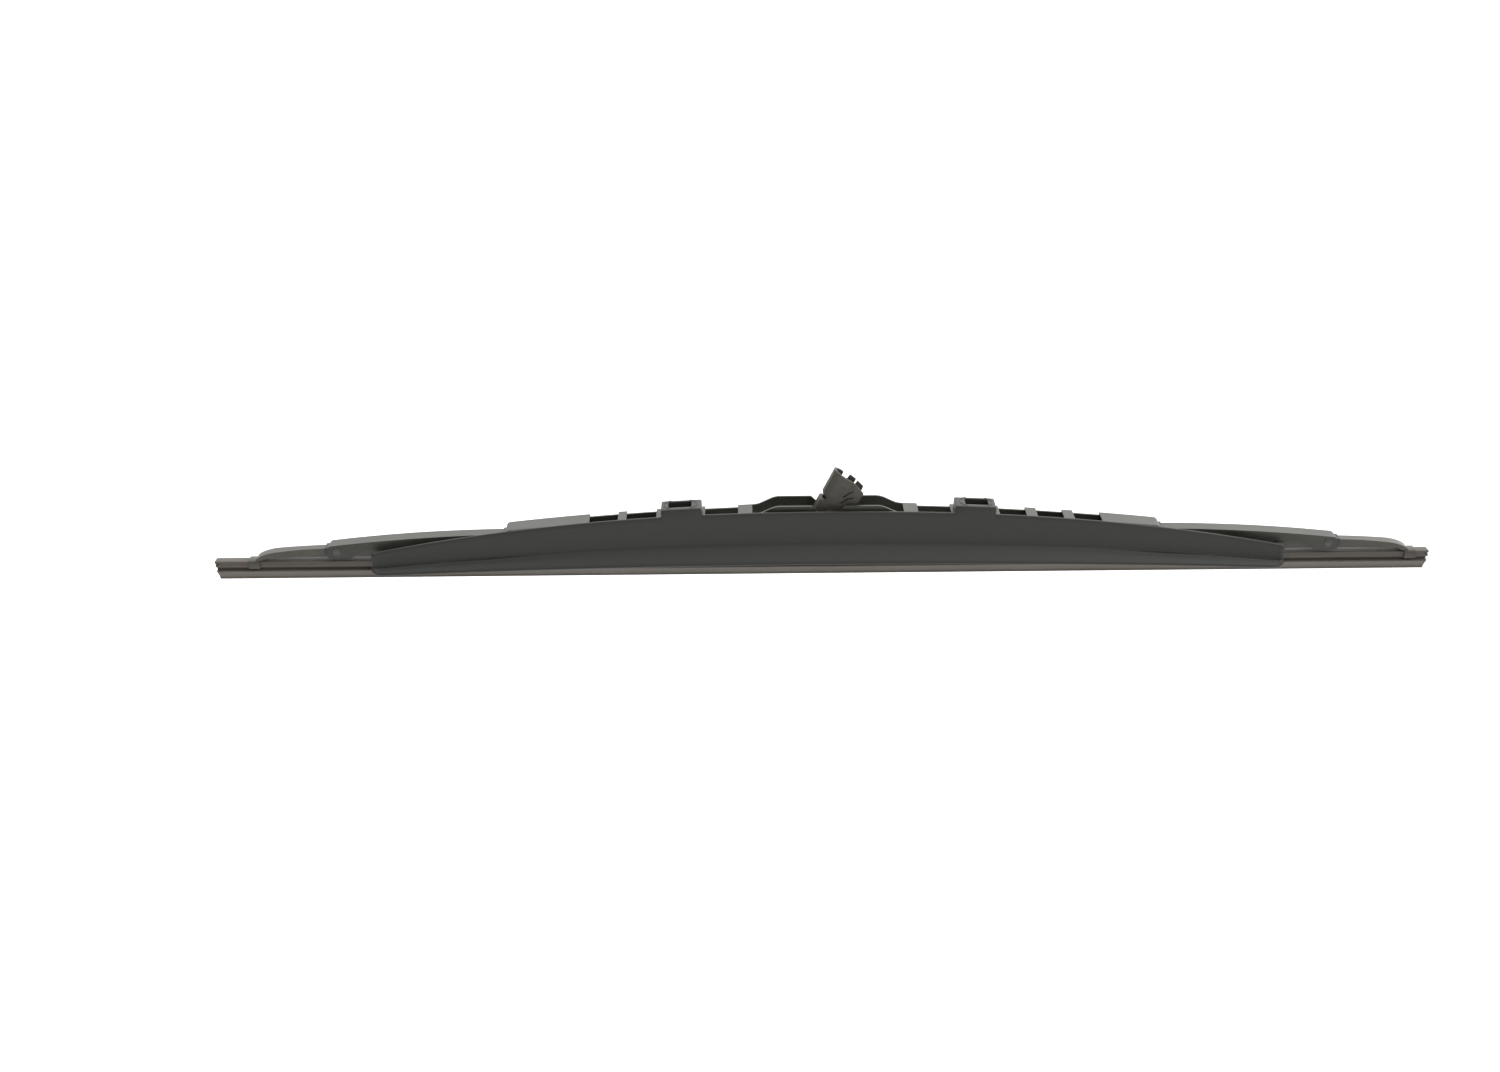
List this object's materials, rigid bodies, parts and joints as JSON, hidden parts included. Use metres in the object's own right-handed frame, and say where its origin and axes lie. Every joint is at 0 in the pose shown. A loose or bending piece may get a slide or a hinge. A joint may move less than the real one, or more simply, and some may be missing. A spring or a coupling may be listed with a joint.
{
  "type": "windshield wiper blade",
  "caption": "Car windshield wiper blade: riveted steel lever frame with spoiler and arm adapter, pressing a railed rubber squeegee evenly on curved glass.",
  "frame": {"origin": "centre of the cross pin that the wiper arm's adapter swings on", "axes": "+X along the blade, +Y across it away from the spoiler, +Z away from the glass"},
  "size_m": [0.6, 0.025, 0.056],
  "materials": {
    "lever_steel": "black powder coat, satin",
    "rivet_steel": "black, satin",
    "spoiler_plastic": "fine moulded grain",
    "adapter_plastic": "semi-matt moulded",
    "liner_plastic": "matt",
    "rail_steel": "darkened strip, dull",
    "rubber": "matt, graphite dusted"
  },
  "bodies": {
    "blade_frame": {"primary_lever": "lever_steel", "cross_pin": "rivet_steel", "spoiler": "spoiler_plastic", "secondary_rivet_left": "rivet_steel", "secondary_rivet_right": "rivet_steel", "wiper_rubber": "rubber", "rail_front": "rail_steel", "rail_rear": "rail_steel"},
    "arm_adapter": {"arm_adapter": "adapter_plastic"},
    "secondary_left": {"secondary_lever_left": "lever_steel", "secondary_liner_left": "liner_plastic", "yoke_rivet_outer_left": "rivet_steel", "yoke_rivet_inner_left": "rivet_steel"},
    "secondary_right": {"secondary_lever_right": "lever_steel", "secondary_liner_right": "liner_plastic", "yoke_rivet_inner_right": "rivet_steel", "yoke_rivet_outer_right": "rivet_steel"},
    "yoke_outer_left": {"yoke_outer_left": "lever_steel", "yoke_liner_outer_left": "liner_plastic"},
    "yoke_inner_left": {"yoke_inner_left": "lever_steel", "yoke_liner_inner_left": "liner_plastic"},
    "yoke_inner_right": {"yoke_inner_right": "lever_steel", "yoke_liner_inner_right": "liner_plastic"},
    "yoke_outer_right": {"yoke_outer_right": "lever_steel", "yoke_liner_outer_right": "liner_plastic"}
  },
  "joints": [
    {"name": "adapter_swing", "type": "hinge", "parent": "blade_frame", "child": "arm_adapter", "pos_m": [0, 0, 0], "axis": [0, 1, 0], "range_deg": [-15, 63]},
    {"name": "blade_flex", "type": "hinge", "parent": "blade_frame", "child": "secondary_left", "pos_m": [-0.1515, 0, -0.0104], "axis": [0, 1, 0], "range_deg": [-4.5, 4.5], "stiffness_Nm_per_rad": 1, "deforming": ["wiper_rubber", "rail_front", "rail_rear"]},
    {"name": "secondary_right_pivot", "type": "hinge", "parent": "blade_frame", "child": "secondary_right", "pos_m": [0.1565, 0, -0.0104], "axis": [0, 1, 0], "range_deg": [-4.6, 4.6]},
    {"name": "yoke_outer_left_pivot", "type": "hinge", "parent": "secondary_left", "child": "yoke_outer_left", "pos_m": [-0.2415, 0, -0.0151], "axis": [0, 1, 0], "range_deg": [-2.5, 2.5]},
    {"name": "yoke_inner_left_pivot", "type": "hinge", "parent": "secondary_left", "child": "yoke_inner_left", "pos_m": [-0.0725, 0, -0.0151], "axis": [0, 1, 0], "range_deg": [-2.5, 2.5]},
    {"name": "yoke_inner_right_pivot", "type": "hinge", "parent": "secondary_right", "child": "yoke_inner_right", "pos_m": [0.0775, 0, -0.0151], "axis": [0, 1, 0], "range_deg": [-2.5, 2.5]},
    {"name": "yoke_outer_right_pivot", "type": "hinge", "parent": "secondary_right", "child": "yoke_outer_right", "pos_m": [0.2465, 0, -0.0151], "axis": [0, 1, 0], "range_deg": [-2.5, 2.5]}
  ],
  "couplings": [
    {"joint": "secondary_right_pivot", "follows": "blade_flex", "ratio": -1},
    {"joint": "yoke_outer_left_pivot", "follows": "blade_flex", "ratio": 0.5298},
    {"joint": "yoke_inner_left_pivot", "follows": "blade_flex", "ratio": -0.5298},
    {"joint": "yoke_inner_right_pivot", "follows": "blade_flex", "ratio": 0.5298},
    {"joint": "yoke_outer_right_pivot", "follows": "blade_flex", "ratio": -0.5298}
  ]
}
